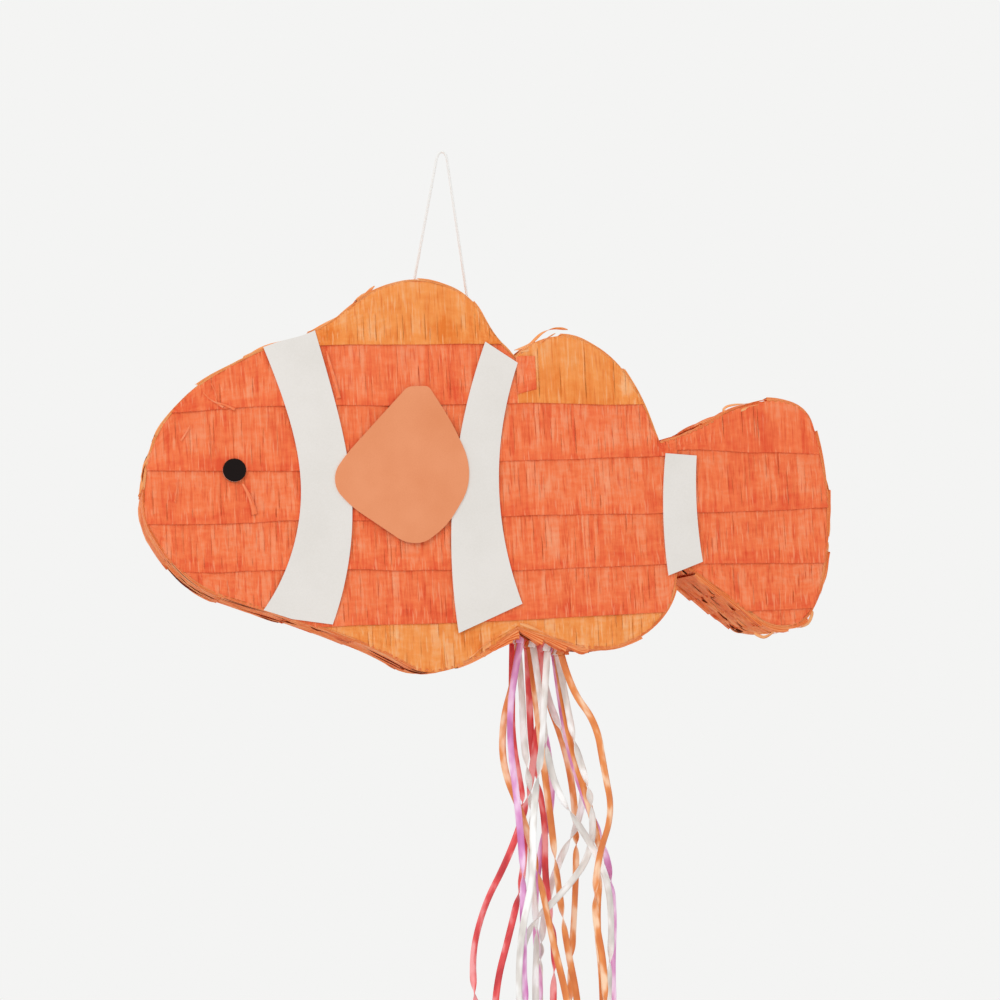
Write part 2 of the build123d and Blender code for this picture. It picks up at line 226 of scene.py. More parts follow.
def add(tree, kind, inputs=None, **settings):
    """A shader node of that kind with its settings. Each input gets a value, or a link from a socket or from
    another node's first output."""
    made = tree.nodes.new("ShaderNode" + kind)
    for name, value in settings.items():
        setattr(made, name, value)
    for name, value in (inputs or {}).items():
        if isinstance(value, bpy.types.Node):
            value = value.outputs[0]
        if isinstance(value, bpy.types.NodeSocket):
            tree.links.new(value, made.inputs[name])
        else:
            made.inputs[name].default_value = value
    return made


def new_material(name):
    """An empty node material and its node tree."""
    material = bpy.data.materials.new(name)
    material.use_nodes = True
    material.node_tree.nodes.clear()
    return material, material.node_tree


def set_ramp(ramp, *stops):
    """Colours of a ramp node as (place, hex colour)."""
    elements = ramp.color_ramp.elements
    while len(elements) < len(stops):
        elements.new(0.5)
    for element, (place, hex_colour) in zip(elements, stops):
        element.position = place
        element.color = linear(hex_colour)


# ---- Crepe paper ----
grain_width = 0.9 * mm          # crepe wrinkles, drawn coarser than the real 0.5 mm so that they show
grain_length = 14 * mm
streak_width = 2.6 * mm         # darker and lighter runs of wrinkles along a finger
streak_length = 30 * mm
crinkle = 3.5 * mm              # soft creases across the wrinkles
crinkle_length = 2.5 * crinkle
blotch = 22 * mm                # dye and light through more or fewer layers
dash_width = 1.5 * mm           # short sharp wrinkles, with painted shade where sunken and a painted highlight where raised
dash_length = 19 * mm


def crepe_paper(name, dark, middle, light, crease_shade_colour):
    """Crepe paper, dyed and machine-creped tissue: matt, with fine wrinkles along each finger, short sharp
    ones among them with painted shade where sunken and a painted highlight where raised, streaks of uneven
    dye, and very little light coming through it. The dye's place on its ramp is the mean of the finger's own
    tone and of four noises."""
    material, tree = new_material(name)
    paper = add(tree, "UVMap", uv_map="paper")
    noises = []
    for width, length, detail, roughness in ((grain_width, grain_length, 3.0, 0.6),
                                             (streak_width, streak_length, 2.0, 0.5),
                                             (crinkle_length, crinkle, 4.0, 0.5)):
        stretched = add(tree, "Mapping", {"Vector": paper, "Scale": (1 / width, 1 / length, 1)})
        noise = add(tree, "TexNoise", {"Vector": stretched, "Scale": 1.0, "Detail": detail,
                                       "Roughness": roughness})
        noises.append(noise)
    grain, streak, crease = noises
    place = add(tree, "TexCoord")
    patchy = add(tree, "TexNoise", {"Vector": place.outputs["Object"], "Scale": 1 / blotch, "Detail": 3.0})
    total = add(tree, "Attribute", attribute_name="tone").outputs["Fac"]
    for pattern in (grain, streak, patchy, crease):
        total = add(tree, "Math", {0: total, 1: pattern}, operation="ADD")
    share = add(tree, "Math", {0: total, 1: 1 / 5}, operation="MULTIPLY")
    dye = add(tree, "ValToRGB", {"Fac": share})
    set_ramp(dye, (0.35, dark), (0.5, middle), (0.65, light))
    dashes_at = add(tree, "Mapping", {"Vector": paper, "Location": (3.0, 7.0, 0.0),
                                      "Scale": (1 / dash_width, 1 / dash_length, 1)})
    dashes = add(tree, "TexNoise", {"Vector": dashes_at, "Scale": 1.0, "Detail": 1.5})
    # The dashes carry painted light: the crease shade colour where a wrinkle is sunken, and the light colour
    # as a painted highlight where one is raised.
    painted_crease_shade = add(tree, "MapRange", {"Value": dashes, "From Min": 0.6, "From Max": 0.7, "To Max": 0.5})
    painted_ridge_highlight = add(tree, "MapRange", {"Value": dashes, "From Min": 0.4, "From Max": 0.32, "To Max": 0.6})
    darker = add(tree, "Mix", {0: painted_crease_shade, 6: dye, 7: linear(crease_shade_colour)}, data_type="RGBA")
    colour = add(tree, "Mix", {0: painted_ridge_highlight, 6: darker.outputs[2], 7: linear(light)}, data_type="RGBA")
    wrinkles = add(tree, "Bump", {"Height": grain, "Strength": 0.25, "Distance": 0.3 * mm})
    folds = add(tree, "Bump", {"Height": crease, "Strength": 0.2, "Distance": 0.9 * mm, "Normal": wrinkles})
    shader = add(tree, "BsdfPrincipled", {"Base Color": colour.outputs[2], "Roughness": 0.85,
                                          "Specular IOR Level": 0.15, "Subsurface Weight": 0.05,
                                          "Subsurface Radius": (1.0, 0.45, 0.2), "Subsurface Scale": 2 * mm,
                                          "Sheen Weight": 0.05, "Sheen Roughness": 0.6, "Normal": folds})
    add(tree, "OutputMaterial", {"Surface": shader})
    return material


# ---- Card ----
def plain_card(name, face, fleck, core, speck=1.2 * mm, roughness=0.5, shine=0.35):
    """Thin printed card: flat colour with faint mottling on its faces and the pale pulp core on its cut edge.

    The mottling is the mean of fine specks and of clouds 30 times as wide. A face looks along y."""
    material, tree = new_material(name)
    place = add(tree, "TexCoord")
    fibre = add(tree, "TexNoise", {"Vector": place.outputs["Object"], "Scale": 1 / speck, "Detail": 5.0,
                                   "Roughness": 0.7})
    cloud = add(tree, "TexNoise", {"Vector": place.outputs["Object"], "Scale": 1 / (30 * speck),
                                   "Detail": 2.0})
    total = add(tree, "Math", {0: fibre, 1: cloud}, operation="ADD")
    share = add(tree, "Math", {0: total, 1: 0.5}, operation="MULTIPLY")
    ink = add(tree, "ValToRGB", {"Fac": share})
    set_ramp(ink, (0.35, fleck), (0.6, face))
    facing = add(tree, "SeparateXYZ", {"Vector": place.outputs["Normal"]})
    flat = add(tree, "Math", {0: facing.outputs["Y"]}, operation="ABSOLUTE")
    on_face = add(tree, "Math", {0: flat, 1: 0.5}, operation="GREATER_THAN")
    colour = add(tree, "Mix", {0: on_face, 6: linear(core), 7: ink}, data_type="RGBA")
    tooth = add(tree, "Bump", {"Height": fibre, "Strength": 0.25, "Distance": 0.08 * mm})
    shader = add(tree, "BsdfPrincipled", {"Base Color": colour.outputs[2], "Roughness": roughness,
                                          "Specular IOR Level": shine, "Normal": tooth})
    add(tree, "OutputMaterial", {"Surface": shader})
    return material


flute_pitch = 5 * mm            # of the corrugated card's inner wave
one_rib = 0.314                 # the wave texture's scale that gives one rib in each unit of length


def corrugated_card(name):
    """Brown corrugated card of recycled kraft pulp: dull, flecked with fibres, faintly ribbed by its flutes,
    which are drawn along z."""
    material, tree = new_material(name)
    place = add(tree, "TexCoord")
    stretched = add(tree, "Mapping", {"Vector": place.outputs["Object"], "Scale": (1 / mm, 1 / mm, 0.3 / mm)})
    fibre = add(tree, "TexNoise", {"Vector": stretched, "Scale": 1.0, "Detail": 5.0, "Roughness": 0.7})
    flutes = add(tree, "TexWave", {"Vector": place.outputs["Object"], "Scale": one_rib / flute_pitch,
                                   "Distortion": 0.4, "Detail": 1.0}, bands_direction="X")
    pulp = add(tree, "ValToRGB", {"Fac": fibre})
    set_ramp(pulp, (0.3, "#9A7248"), (0.55, "#B98F60"), (0.75, "#CDA97C"))
    ribs = add(tree, "Bump", {"Height": flutes.outputs["Fac"], "Strength": 0.3, "Distance": 0.3 * mm})
    tooth = add(tree, "Bump", {"Height": fibre, "Strength": 0.3, "Distance": 0.15 * mm, "Normal": ribs})
    shader = add(tree, "BsdfPrincipled", {"Base Color": pulp, "Roughness": 0.88, "Specular IOR Level": 0.2,
                                          "Normal": tooth})
    add(tree, "OutputMaterial", {"Surface": shader})
    return material


# ---- Ribbon and string ----
rib_scale = (1 / (0.45 * mm), 1 / (40 * mm), 1)         # ribs of 0.45 mm that run along the ribbon
highlight_band_scale = (1 / (9 * mm), 1 / (26 * mm), 1)          # bands of painted highlight and painted shade that change every 26 mm


def satin_ribbon(name, shade, face, painted_highlight_colour):
    """Woven satin gift ribbon: smooth and shiny, with fine ribs, and bands of painted highlight and painted
    shade along it.
    """
    material, tree = new_material(name)
    band = add(tree, "UVMap", uv_map="paper")
    ribs_at = add(tree, "Mapping", {"Vector": band, "Scale": rib_scale})
    ribs = add(tree, "TexNoise", {"Vector": ribs_at, "Scale": 1.0, "Detail": 2.0})
    highlight_bands_at = add(tree, "Mapping", {"Vector": band, "Scale": highlight_band_scale})
    highlight_bands = add(tree, "TexNoise", {"Vector": highlight_bands_at, "Scale": 1.0, "Detail": 2.0})
    # The ramp runs from a painted shade through the ribbon's own colour to a painted highlight, along the
    # bands.
    dye = add(tree, "ValToRGB", {"Fac": highlight_bands})
    set_ramp(dye, (0.36, shade), (0.5, face), (0.62, painted_highlight_colour))
    weave = add(tree, "Bump", {"Height": ribs, "Strength": 0.3, "Distance": 0.06 * mm})
    shader = add(tree, "BsdfPrincipled", {"Base Color": dye, "Roughness": 0.34, "Specular IOR Level": 0.6,
                                          "Sheen Weight": 0.2, "Normal": weave})
    add(tree, "OutputMaterial", {"Surface": shader})
    return material


def cotton_string(name):
    """Bleached cotton twine: matt and fibrous, its fibres 0.5 mm apart, with painted shade where they meet.
    """
    material, tree = new_material(name)
    place = add(tree, "TexCoord")
    fibre = add(tree, "TexNoise", {"Vector": place.outputs["Object"], "Scale": 1 / (0.5 * mm), "Detail": 4.0})
    yarn = add(tree, "ValToRGB", {"Fac": fibre})
    set_ramp(yarn, (0.3, "#DCDCDA"), (0.6, "#F6F6F5"))
    fluff = add(tree, "Bump", {"Height": fibre, "Strength": 0.5, "Distance": 0.15 * mm})
    shader = add(tree, "BsdfPrincipled", {"Base Color": yarn, "Roughness": 0.9, "Specular IOR Level": 0.2,
                                          "Sheen Weight": 0.1, "Normal": fluff})
    add(tree, "OutputMaterial", {"Surface": shader})
    return material


# The colours of a crepe: dark, middle and light, the light one also its painted highlight on raised wrinkles,
# and last the painted shade in its sunken wrinkles.
coral_crepe = crepe_paper("coral_crepe_paper", "#E05531", "#F17848", "#F49A72", "#D0421F")
golden_crepe = crepe_paper("golden_crepe_paper", "#E4792F", "#F1964F", "#F4B582", "#D06022")
tangerine_crepe = crepe_paper("tangerine_crepe_paper", "#D45622", "#EC7C3F", "#F2AA73", "#B64219")
white_card = plain_card("coated_white_card", "#E3DFDB", "#DDD9D4", "#FCFAF7", roughness=0.42)
salmon_card = plain_card("salmon_printed_card", "#E69366", "#DE8859", "#F2B08C", speck=0.9 * mm)
black_card = plain_card("black_printed_card", "#120302", "#0A0201", "#E8DCD4", roughness=0.6, shine=0.15)
brown_card = corrugated_card("kraft_corrugated_card")
twine = cotton_string("bleached_cotton_twine")
# Each satin: its painted shade, its own colour and its painted highlight.
satins = {"lilac": satin_ribbon("lilac_satin", "#CF74B6", "#E59CD3", "#F9D6F3"),
          "red": satin_ribbon("red_satin", "#CE2E36", "#EE4E50", "#FFA6A8"),
          "orange": satin_ribbon("orange_satin", "#DC7630", "#EC8E46", "#FFD4B0"),
          "white": satin_ribbon("white_satin", "#D0CAC5", "#E8E3DE", "#FFFFFF")}


# ======== Crepe strips ========
# Every strip is a folded length of crepe: a front ply slit into fingers, a fold at its free edge, a back ply.

fold_rows = 5                   # points round the fold
back_rows = 4                   # points up the back ply
columns = 5                     # points across one finger
fold_radius = 0.5 * mm
narrowest_finger = 2.2 * mm
widest_finger = 6.5 * mm
narrow_gap = 0.18 * mm          # half of the opening between two fingers
wide_gap = 0.55 * mm            # the few cuts that have been pulled open
wide_share = 0.16               # of the cuts
shortest_cut = 0.18             # as a share of the strip's height
longest_cut = 0.72
least_lift = 0.1 * mm           # no crepe lies nearer to the card than this
free_end_darkening = 0.3               # how much deeper the tone is over a strip's last quarter, towards its fold

lattice_size = 97
lattice = np.random.default_rng(7).uniform(-1, 1, (lattice_size, lattice_size))


def crumple(x, z):
    """Smooth noise between -1 and 1: random values on a lattice of unit squares, blended by smooth steps."""
    column, row = np.floor(x).astype(int), np.floor(z).astype(int)
    u, v = smooth_step(x - column), smooth_step(z - row)
    c0, c1, r0, r1 = (number % lattice_size for number in (column, column + 1, row, row + 1))
    near = lattice[r0, c0] * (1 - u) + lattice[r0, c1] * u
    far = lattice[r1, c0] * (1 - u) + lattice[r1, c1] * u
    return near * (1 - v) + far * v


def finger_edges(start, end, rng):
    """Places of the cuts between start and end, unevenly spaced as scissors leave them."""
    count = max(1, int((end - start) / ((narrowest_finger + widest_finger) / 2)))
    widths = rng.uniform(narrowest_finger, widest_finger, count)
    return start + (end - start) * np.concatenate([[0], np.cumsum(widths)]) / widths.sum()


def crepe_strip(edges, place, rng, limits=None, thin=0.5 * mm, thick=2.0 * mm, puff=0.6 * mm,
                tilt=0.5 * mm, bare=0.2, cuts=(0.05, 0.94), billow=0.0, lift_power=1.4, ragged=0.0,
                hollow=0.3 * mm, rows=24):
    """A folded crepe strip. edges are its cuts across, and place(across, t, lift, beyond) puts it in space.

    Along a finger, t runs from 0 at the glued edge to 1 at the fold. The front ply stands off by
    thin + (thick - thin) t^lift_power + billow sin(pi t). Inside each cut's own stretch of t a finger's two
    sides rise and part by their own amounts times sin(pi q)^0.7, where q is the share of the stretch, and its
    middle swells by up to puff; outside it neighbours share their points. A share of the cuts, bare, is left
    whole. The back ply lies as far as hollow behind the front one, and two fold radii behind it at the fold.
    Its tone is deeper from a wavy line at t = 0.74 + 0.08 sin(x / 17 mm) + 0.04 sin(x / 6 mm)
    on towards the fold.
    limits(across) gives the part of t that is left where the strip is trimmed, and ragged is the largest
    share by which a finger falls short of it."""
    fingers = len(edges) - 1
    share = np.linspace(0, 1, columns)
    across = edges[:-1, None] + (edges[1:] - edges[:-1])[:, None] * share          # finger, column
    first, last = (np.zeros_like(across), np.ones_like(across)) if limits is None else limits(across)
    last = last * (1 - ragged * rng.random(fingers)[:, None] ** 2)
    turn = np.linspace(0, np.pi, fold_rows + 1)[1:]
    v = np.concatenate([np.linspace(0, 1, rows), np.ones(fold_rows), np.linspace(1, 0, back_rows + 1)[1:]])
    t = first[..., None] + (last - first)[..., None] * v                            # finger, column, row
    in_front = np.concatenate([np.ones(rows), np.zeros(fold_rows + back_rows)])
    behind = np.concatenate([np.zeros(rows), (1 - np.cos(turn)) / 2, np.ones(back_rows)])
    beyond = np.concatenate([np.zeros(rows), np.sin(turn), np.zeros(back_rows)])

    length_share = rng.uniform(shortest_cut, longest_cut, fingers + 1)
    middle = rng.uniform(cuts[0], cuts[1], fingers + 1)
    cut_from = np.clip(middle - length_share / 2, cuts[0], cuts[1] - shortest_cut)
    cut_to = np.clip(middle + length_share / 2, cuts[0] + shortest_cut, cuts[1])
    gap = np.where(rng.random(fingers + 1) < wide_share, wide_gap, narrow_gap)
    gap = gap * rng.uniform(0.5, 1.0, fingers + 1)
    whole = rng.random(fingers + 1) < bare
    whole[[0, -1]] = True
    cut_to[whole] = cut_from[whole]

    def opening(cut):
        """How far a cut is open at t: 0 outside its stretch and sin(pi q)^0.7 inside it."""
        length = np.maximum(cut_to - cut_from, 1e-6)[cut]
        q = (t - cut_from[cut][:, None, None]) / length[:, None, None]
        return np.where((q > 0) & (q < 1), np.sin(np.pi * np.clip(q, 0, 1)), 0) ** 0.7 * in_front

    left, right = opening(np.arange(fingers)), opening(np.arange(1, fingers + 1))
    side = share[None, :, None]
    rise_left, rise_right = (rng.uniform(-0.6, 1, (2, fingers)) ** 3)[:, :, None, None] * tilt
    swell = (rng.random(fingers) ** 2.2)[:, None, None] * puff
    bulge = swell * 4 * side * (1 - side) * np.minimum(1, left + right)
    lift = thin + (thick - thin) * t ** lift_power + billow * np.sin(np.pi * t)
    lift = lift + (1 - side) * left * rise_left + side * right * rise_right + bulge
    spacing = hollow + (2 * fold_radius - hollow) * smooth_step((t - 0.7) / 0.3)
    lift = np.maximum(lift - behind * spacing, least_lift)
    moved = across[..., None] + (1 - side) * left * gap[:-1, None, None]
    moved = moved - side * right * gap[1:, None, None]
    points = place(moved, t, lift, beyond * fold_radius)

    fresh = np.ones((fingers, columns, len(v)), bool)
    fresh[1:, 0] = left[1:, 0] > 0
    number = np.where(fresh, np.cumsum(fresh.ravel()).reshape(fresh.shape) - 1, -1)
    number[1:, 0] = np.where(fresh[1:, 0], number[1:, 0], number[:-1, -1])
    own = rng.random((2, fingers))[:, :, None, None]
    # A finger's own tone is random, spread wider where its cuts open; beside an open cut its sides get a
    # painted highlight, at times a painted shade.
    tone = 0.5 + 0.8 * (own[0] - 0.5) * (0.45 + 0.55 * np.minimum(1, left + right))
    tone = tone + 0.5 * np.abs(side - 0.5) * (own[1] - 0.35) * np.maximum(left, right)
    wavy = 0.74 + 0.08 * np.sin(moved / (17 * mm) + rng.uniform(0, 6)) + 0.04 * np.sin(moved / (6 * mm))
    tone = np.broadcast_to(tone - free_end_darkening * smooth_step((t - wavy) / 0.16), t.shape)
    uv = np.stack([moved, (t + v) * place.length / 2 + rng.uniform(0, 1)], -1)
    keep = fresh.ravel()
    return (points.reshape(-1, 3)[keep], grid_faces(number, over=True), uv.reshape(-1, 2)[keep],
            tone.ravel()[keep])


class FacePlace:
    """Puts a strip on a face: x across, z down from its top line to its fold line, y out from the panel.

    The fold line wanders by 0.7 mm, and the lift gets creases of 0.5 mm and wrinkles of 0.28 mm, all three
    by crumple. The lift shrinks to a quarter at the trimmed rim, and is held down inside the pressed loops,
    where the card pieces lie over the crepe."""

    length = 42 * mm            # of a finger, for the pattern along it
    rim_width = 2.2 * mm
    pressed_lift = 2.15 * mm

    def __init__(self, side, top, bottom):
        self.side = side
        self.top = top
        self.bottom = bottom

    def limits(self, across):
        """The part of t between the outline's lowest and highest point at each x."""
        low, high = (edge.reshape(across.shape) for edge in height_range(face_loop, across.ravel()))
        top, bottom = self.top(across), self.bottom(across)
        first = np.clip((top - high) / (top - bottom), 0, 1)
        last = np.clip((top - low) / (top - bottom), 0, 1)
        return first, np.maximum(first, last)

    def __call__(self, across, t, lift, beyond):
        top, bottom = self.top(across), self.bottom(across)
        z = top - t * (top - bottom) - beyond
        z = z + 0.7 * mm * crumple(across / (26 * mm), bottom / (30 * mm) + 40) * smooth_step(t * 2)
        crease = 0.5 * mm * crumple(across / (8 * mm) + z / (19 * mm), z / (14 * mm))
        crease = crease + 0.28 * mm * crumple(across / (3.1 * mm), z / (9 * mm) + across / (12 * mm) + 50)
        lift = np.maximum(lift + crease * smooth_step(t * 4), least_lift)
        rim = smooth_step(distance_inside(across, z) / self.rim_width)
        lift = lift * (0.25 + 0.75 * rim)
        for loop in pressed_loops:
            lift = np.where(inside_loop(loop, across, z), np.minimum(lift, self.pressed_lift), lift)
        return np.stack([across, -self.side * (half_depth + lift), z], -1)


def line_through(*corners):
    """A line of z over x through some corners, given in millimetres."""
    x, z = np.array(corners, float).T * mm
    return lambda across: np.interp(across, x, z)


# ---- Rows on the two faces: the lines along which the strips fold, from the top row down ----
front_folds = [line_through((-101, -144.6), (14, -146.7)),
               line_through((-202, -190.2), (-176, -188.3), (-150, -187.2), (-117, -188), (-40, -190.2),
                            (49, -190.8), (130, -194.4)),
               line_through((-224, -231), (-120, -234.4), (20, -232.5), (150, -232.5)),
               line_through((-235, -269), (-120, -270.2), (20, -272.4), (150, -273.7)),
               line_through((-235, -303.3), (-110, -305.4), (20, -311.2), (150, -310.9)),
               line_through((-110, -345.6), (0, -347.2), (150, -346.4))]
back_folds = [line_through((-200, left), (200, right))
              for left, right in ((-145.5, -145.5), (-189.5, -190.5), (-232.5, -232.5), (-272.5, -271.5),
                                  (-310, -310), (-348, -347))]
front_tail_folds = [line_through((173, -228.6), (210, -231.5), (261, -234.4)),
                    line_through((156, -274.4), (261, -275)),
                    line_through((156, -311.9), (220, -313.4), (262, -315.4)),
                    line_through((156, -348), (262, -348))]
back_tail_folds = [line_through((156, left), (262, right))
                   for left, right in ((-232.5, -231.5), (-272, -272.6), (-310, -311), (-348, -347.5))]


def level_line(z):
    """A line of one height, given in millimetres, across the whole fish."""
    return line_through((-300, z), (300, z))


above_fish, below_fish = level_line(-90), level_line(-392)
overlap = 1.2 * mm              # each row covers the glued top of the row below
span_step = 0.5 * mm
least_band = 0.6 * mm           # how far a row reaches into the face at least, where it has fingers


def raised(line, amount):
    """The same line, higher by an amount."""
    return lambda across: line(across) + amount


def face_span(top, bottom, left, right):
    """The part of left to right in which the trimmed face reaches between the two lines."""
    x = np.arange(left, right + 1e-9, span_step)
    low, high = height_range(face_loop, x)
    reached = (low < top(x) - least_band) & (high > bottom(x) + least_band)
    return (x[reached].min(), x[reached].max()) if reached.any() else None


def widened(loop, margin):
    """A closed loop scaled away from its centre so that it grows by about the margin."""
    centre = (loop.max(0) + loop.min(0)) / 2
    half = (loop.max(0) - loop.min(0)) / 2
    return centre + (loop - centre) * (half + margin) / half


card_nodes = ("front_head_stripe", "front_middle_stripe", "front_tail_stripe", "front_fin", "front_eye")
pressed_loops = [widened(panel_outline(node), 1.2 * mm) for node in card_nodes]
hump_look = {"cuts": (0.6, 0.97), "bare": 0.45, "puff": 0.4 * mm, "billow": 0.3 * mm}
belly_look = {"cuts": (0.03, 0.97), "bare": 0.08, "puff": 0.9 * mm}
extra_look = {"thin": 2.3 * mm, "thick": 2.7 * mm}


def face_rows(node, side, bands, material, seed, body="shell", look=None, extra=()):
    """One node's rows of fringe on a face. bands are (top line, bottom line, left end, right end), and extra
    ones lie over the others."""
    rng = np.random.default_rng(seed)
    parts = []
    for number, (top, bottom, left, right) in enumerate([*bands, *extra]):
        span = face_span(top, bottom, left, right)
        if span is None:
            continue
        place = FacePlace(side, top, bottom)
        own = (look or {}) if number < len(bands) else extra_look
        strip = crepe_strip(finger_edges(*span, rng), place, rng, limits=place.limits, **own)
        parts.append(strip if side > 0 else flipped(strip))
    return piece_of_parts("paper_" + node, parts, body, material, [node])


split = 156 * mm                # the tail has its own rows behind this line
left_end, right_end = panel_low.x - 2 * mm, panel_high.x + 2 * mm
notch_x = 40 * mm               # of the notch between the two humps
flap_gap = 0.6 * mm             # beside the filling flap
flap_rows = (3, 4)              # the back's rows that the flap cuts through
scrap = (line_through((30, -156.5), (60, -157.5)), line_through((36, -185.1), (54.4, -181.3)),
         40 * mm, 54 * mm)      # a torn end of the first coral row, over the golden hump behind the notch

for side, face, folds, tail_folds, seed in ((1, "front", front_folds, front_tail_folds, 100),
                                            (-1, "back", back_folds, back_tail_folds, 200)):
    tops = [raised(fold, overlap) for fold in folds]
    face_rows(f"{face}_hump_fringe", side, [(above_fish, folds[0], left_end, notch_x),
                                            (above_fish, folds[1], notch_x, split)],
              golden_crepe, seed, look=hump_look)
    face_rows(f"{face}_fringe_row_1", side, [(tops[0], folds[1], left_end, notch_x)],
              coral_crepe, seed + 1, extra=[scrap] if side > 0 else [])
    for number in range(2, 6):
        ends = [(left_end, split)]
        if side < 0 and number in flap_rows:
            ends = [(left_end, flap_low.x - flap_gap), (flap_high.x + flap_gap, split)]
        face_rows(f"{face}_fringe_row_{number}", side,
                  [(tops[number - 1], folds[number], *pair) for pair in ends],
                  coral_crepe, seed + number)
    face_rows(f"{face}_belly_fringe", side, [(tops[5], below_fish, left_end, split)],
              golden_crepe, seed + 7, look=belly_look)
    tail_tops = [above_fish] + [raised(fold, overlap) for fold in tail_folds]
    face_rows(f"{face}_tail_fringe", side,
              [(top, fold, split, right_end) for top, fold in zip(tail_tops, tail_folds + [below_fish])],
              coral_crepe, seed + 8)

flap_ends = (flap_low.x + 0.1 * mm, flap_high.x - 0.1 * mm)
face_rows("filling_flap_fringe", -1,
          [(level_line(flap_high.z / mm - 0.1), back_folds[3], *flap_ends),
           (raised(back_folds[3], overlap), level_line(flap_low.z / mm + 0.7), *flap_ends)],
          coral_crepe, 230, body="filling_flap")


# ---- Strips around the edge ----
class EdgePlace:
    """Puts a strip on the edge of the shell: its fingers run along the outline and lie side by side in y."""

    normal_reach = 5 * mm       # rounds the strip over the outline's corners

    def __init__(self, start, length, limit=None):
        self.start = start
        self.length = length
        self.limit = limit

    def __call__(self, across, t, lift, beyond):
        s = self.start + t * self.length + beyond
        if self.limit is not None:
            s = np.minimum(s, self.limit)
        point, normal = outline_point(s), outline_normal(s, self.normal_reach)
        return np.stack([point[..., 0] + lift * normal[..., 0], across,
                         point[..., 1] + lift * normal[..., 1]], -1)


edge_reach = half_depth + 1.2 * mm                      # half-width of the strips round the edge
layer_zigzag = 0.3 * mm         # how far the stacked layers' edges step in and out


def layered_side(place, y, outward, thin, thick, power, rng, rows=14, layers=4):
    """The stacked cut edges at one side of an edge strip. u runs along it and w from the card to its top, at
    w (thin + (thick - thin) u^power); each layer's edge bulges out by the zigzag times |sin(layers pi w)|."""
    u = np.linspace(0, 1, rows)[:, None]
    w = np.linspace(0, 1, 3 * layers + 1)[None]
    lift = w * (thin + (thick - thin) * u ** power)
    bulge = layer_zigzag * (np.abs(np.sin(layers * np.pi * w)) - 1) * (1 - w ** 8) + 0 * u
    along = u + (0.02 * rng.uniform(-1, 1, w.shape)) * u * (1 - (w > 0.99))
    points = place(y + outward * bulge, along, lift, 0 * lift)
    number = np.arange(lift.size).reshape(lift.shape)
    uv = np.stack([lift + 0.3, along * place.length / 6 + rng.uniform(0, 1)], -1).reshape(-1, 2)
    shade = np.broadcast_to(np.abs(np.sin(layers * np.pi * w)) * 1.3 - 0.3, lift.shape)
    return points.reshape(-1, 3), grid_faces(number, over=outward < 0), uv, shade.ravel()


corners = {"top": outline_place(40 * mm, -159 * mm), "nose": outline_place(-230 * mm, -243 * mm),
           "belly": outline_place(32 * mm, -352 * mm), "tail_low": outline_place(165 * mm, -313 * mm),
           "tail_top": outline_place(143 * mm, -225 * mm)}
door_middle = outline_place(*np.mean(row_pivots, 0)[[0, 2]])
door_half = 20.25 * mm          # half of the release door's length along the outline
door_gap = 0.6 * mm             # round the release door
beside_door = door_high.y + 0.8 * mm                    # half-width that the ruffles leave to the door
usual_pitch = 46 * mm           # of the strips round the edge
edge_overhang = 0.22            # of a pitch, by which a strip laps over the next one
corner_lap = 1.5 * mm           # how far a node's last strip reaches past its corner
least_stub = 4 * mm             # a shorter end beside the opening is left out
edge_look = {"thin": 1.2 * mm, "puff": 1.2 * mm, "tilt": 1.6 * mm, "bare": 0.04, "cuts": (0.06, 1.0),
             "lift_power": 1.6, "ragged": 0.12, "hollow": 1.0 * mm, "rows": 14}
ruffle_look = {"thin": 3 * mm, "puff": 1.2 * mm, "tilt": 1.8 * mm, "bare": 0.0, "cuts": (0.1, 1.0),
               "lift_power": 1.2, "ragged": 0.2, "hollow": 1.4 * mm, "rows": 12}


def edge_strip(place, low_y, high_y, rng, look):
    """A crepe strip on the edge and the stacked layers at its two sides."""
    parts = [flipped(crepe_strip(finger_edges(low_y, high_y, rng), place, rng, **look))]
    for y, outward in ((low_y, -1), (high_y, 1)):
        parts.append(layered_side(place, y, outward, look["thin"], look["thick"], look["lift_power"], rng))
    return parts


def edge_strips(name, start, end, material, seed, opening=None, highest=3.4 * mm, ruffles=(),
                inner=0.0):
    """One node's strips round the edge, each lapping over the next one's start. An opening is left clear, and
    ruffles are more strips over these, given as (start, length, height), outside the inner half-width."""
    rng = np.random.default_rng(seed)
    stretch = (end - start) % perimeter
    count = max(1, round(stretch / usual_pitch))
    pitch = stretch / count
    parts = []
    for number in range(count):
        begin = start + number * pitch
        length = pitch * (1 + edge_overhang * rng.uniform(0.5, 1.2))
        limit = None if number < count - 1 else start + stretch + corner_lap
        look = {**edge_look, "thick": rng.uniform(0.6, 1.0) * highest}
        spans = [(-edge_reach, edge_reach, begin, length, limit)]
        if opening is not None:
            low, high, half_width = opening
            if begin < high and begin + length > low:
                spans = [(-edge_reach, -half_width, begin, length, limit),
                         (half_width, edge_reach, begin, length, limit)]
                if begin < low - least_stub:
                    spans.append((-half_width, half_width, begin, low - begin, low))
                if begin + length > high + least_stub:
                    spans.append((-half_width, half_width, high, begin + length - high, limit))
        for low_y, high_y, from_s, long, stop in spans:
            parts += edge_strip(EdgePlace(from_s, long, stop), low_y, high_y, rng, look)
    sides = [(-edge_reach, edge_reach)] if inner == 0 else [(-edge_reach, -inner), (inner, edge_reach)]
    for begin, long, high in ruffles:
        for low_y, high_y in sides:
            parts += edge_strip(EdgePlace(begin, long), low_y, high_y, rng, {**ruffle_look, "thick": high})
    return piece_of_parts("paper_" + name, parts, "shell", material, [name])


def ruffles_from(corner, *sizes):
    """Ruffles beyond a corner of the outline, each given in millimetres as (how far on, length, height)."""
    return [(corners[corner] + on * mm, long * mm, high * mm) for on, long, high in sizes]


